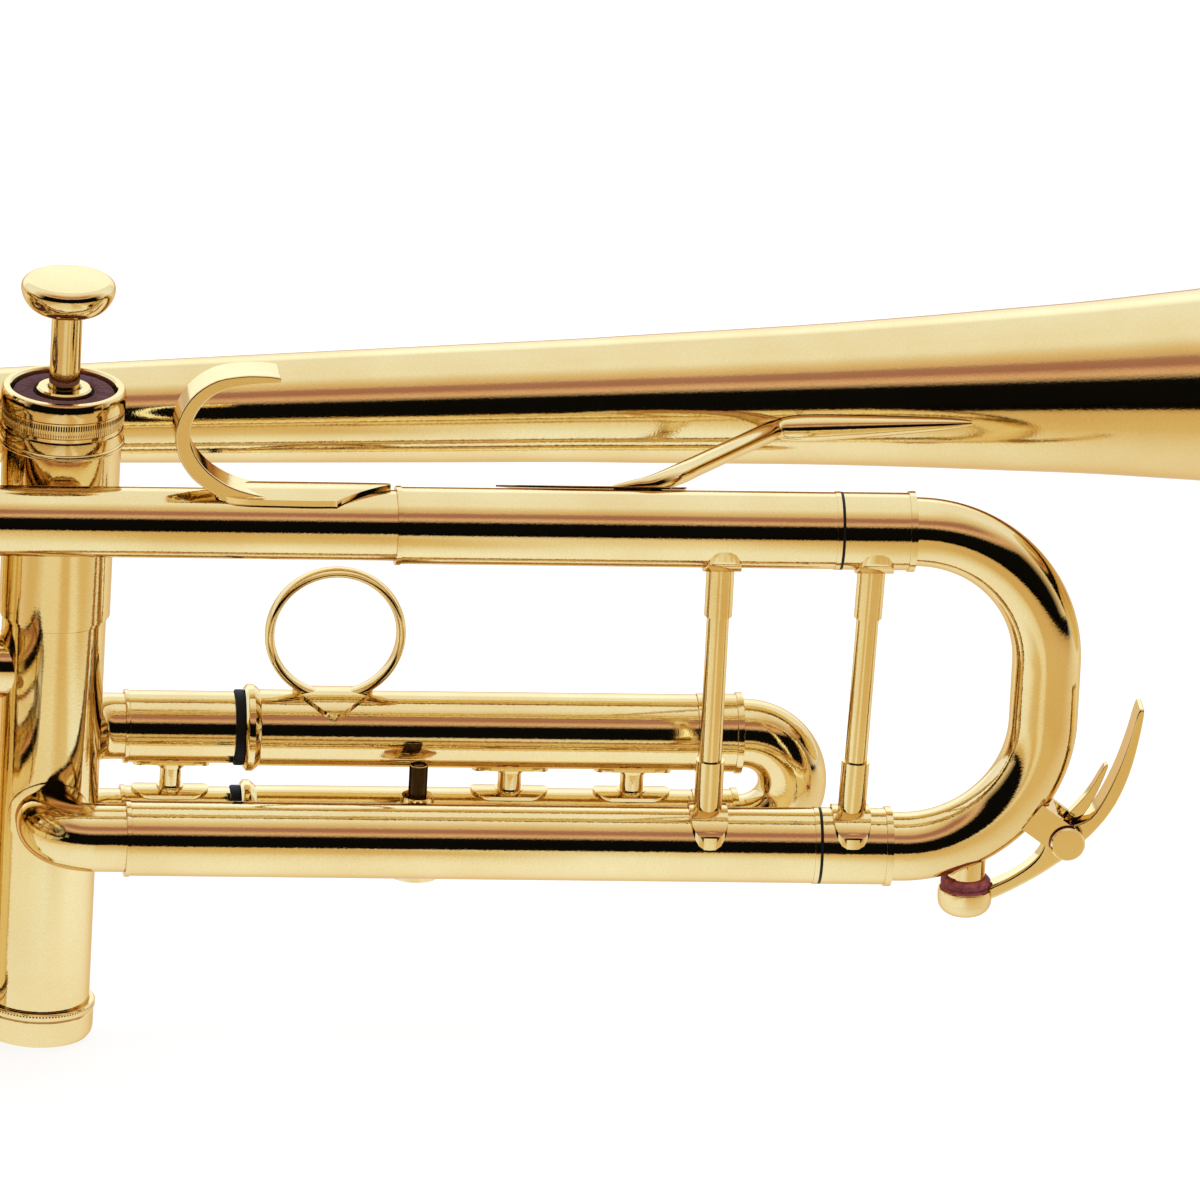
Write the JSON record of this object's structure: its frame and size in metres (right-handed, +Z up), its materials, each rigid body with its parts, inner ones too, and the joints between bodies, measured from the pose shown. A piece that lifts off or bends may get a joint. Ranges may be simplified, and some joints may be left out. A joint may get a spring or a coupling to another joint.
{
  "type": "trumpet",
  "caption": "Piston-valve trumpet with slides, mouthpiece, finger ring, pinky hook and water key; lacquered brass tubing with a flared bell.",
  "frame": {"origin": "on the second valve's axis, on the flat underside of its bottom cap", "axes": "+X towards the bell along the slides, +Y to the player's left, +Z up along the valves"},
  "size_m": [0.5469, 0.1515, 0.1756],
  "materials": {
    "brass": "polished, clear gold lacquer",
    "nickel": "polished nickel silver",
    "silver_plate": "silver plated",
    "spring_steel": "drawn wire",
    "dark_steel": "darkened thread",
    "felt": "pressed felt",
    "guide_plastic": "moulded",
    "black_rubber": "matt",
    "cork": "dense pad"
  },
  "bodies": {
    "trumpet_body": {"valve_casing_1": "brass", "valve_casing_2": "brass", "valve_casing_3": "brass", "top_caps": "brass", "bottom_caps": "brass", "valve_felts": "felt", "valve_guides": "guide_plastic", "spring_1": "spring_steel", "spring_2": "spring_steel", "spring_3": "spring_steel", "interport_tubes": "brass", "leadpipe": "brass", "receiver": "brass", "main_upper_sleeve": "brass", "main_lower_sleeve": "brass", "main_elbow": "brass", "main_sleeve_brace": "brass", "third_knuckles": "brass", "third_fixed_sleeves": "brass", "third_fixed_brace": "brass", "first_fixed_sleeves": "brass", "second_fixed_sleeves": "brass", "bell": "brass", "bell_bow": "brass", "bell_ferrule": "brass", "bell_rear_brace": "brass", "s_brace": "brass", "pinky_hook": "brass"},
    "valve_1": {"piston_1": "nickel", "stem_1": "brass", "button_1": "brass"},
    "valve_2": {"piston_2": "nickel", "stem_2": "brass", "button_2": "brass"},
    "valve_3": {"piston_3": "nickel", "stem_3": "brass", "button_3": "brass"},
    "main_slide": {"main_inner_legs": "nickel", "main_ferrules": "brass", "main_crook": "brass", "main_crook_brace": "brass", "water_key_mount": "brass", "water_key_screw": "nickel"},
    "water_key": {"water_key_lever": "brass", "water_key_cork": "cork"},
    "third_slide": {"third_bumpers": "black_rubber", "third_inner_legs": "nickel", "third_moving_sleeves": "brass", "third_ferrules": "brass", "third_crook": "brass", "third_slide_braces": "brass", "finger_ring": "brass", "lyre_holder": "brass"},
    "lyre_clamp": {"lyre_screw": "dark_steel"},
    "first_slide": {"first_slide_tube": "brass", "first_ferrules": "brass", "first_thumb_saddle": "brass"},
    "second_slide": {"second_slide_tube": "brass", "second_ferrules": "brass"},
    "mouthpiece_body": {"mouthpiece": "silver_plate"}
  },
  "joints": [
    {"name": "valve_1_press", "type": "slide", "parent": "trumpet_body", "child": "valve_1", "axis": [0, 0, -1], "range_m": [0, 0.0142], "stiffness_N_per_m": 150, "springref_m": -0.02, "deforming": ["spring_1"]},
    {"name": "valve_2_press", "type": "slide", "parent": "trumpet_body", "child": "valve_2", "axis": [0, 0, -1], "range_m": [0, 0.0142], "stiffness_N_per_m": 150, "springref_m": -0.02, "deforming": ["spring_2"]},
    {"name": "valve_3_press", "type": "slide", "parent": "trumpet_body", "child": "valve_3", "axis": [0, 0, -1], "range_m": [0, 0.0142], "stiffness_N_per_m": 150, "springref_m": -0.02, "deforming": ["spring_3"]},
    {"name": "main_tuning_slide", "type": "slide", "parent": "trumpet_body", "child": "main_slide", "axis": [1, 0, 0], "range_m": [0, 0.03]},
    {"name": "water_key_hinge", "type": "hinge", "parent": "main_slide", "child": "water_key", "pos_m": [0.20371, -0.0173, 0.04662], "axis": [0, -1, 0], "range_deg": [0, 14], "stiffness_Nm_per_rad": 0.2, "springref_deg": -28.65},
    {"name": "third_valve_slide", "type": "slide", "parent": "trumpet_body", "child": "third_slide", "axis": [1, 0, 0], "range_m": [0, 0.013]},
    {"name": "lyre_screw_turn", "type": "hinge", "parent": "third_slide", "child": "lyre_clamp", "pos_m": [0.0889, -0.0035, 0.046], "axis": [0, 0, 1], "range_deg": [-180, 180]},
    {"name": "first_valve_slide", "type": "slide", "parent": "trumpet_body", "child": "first_slide", "axis": [-1, 0, 0], "range_m": [0, 0.016]},
    {"name": "second_valve_slide", "type": "slide", "parent": "trumpet_body", "child": "second_slide", "axis": [0, -1, 0], "range_m": [0, 0.006]},
    {"name": "mouthpiece_pull", "type": "slide", "parent": "trumpet_body", "child": "mouthpiece_body", "axis": [-1, 0, 0], "range_m": [0, 0.03]}
  ]
}
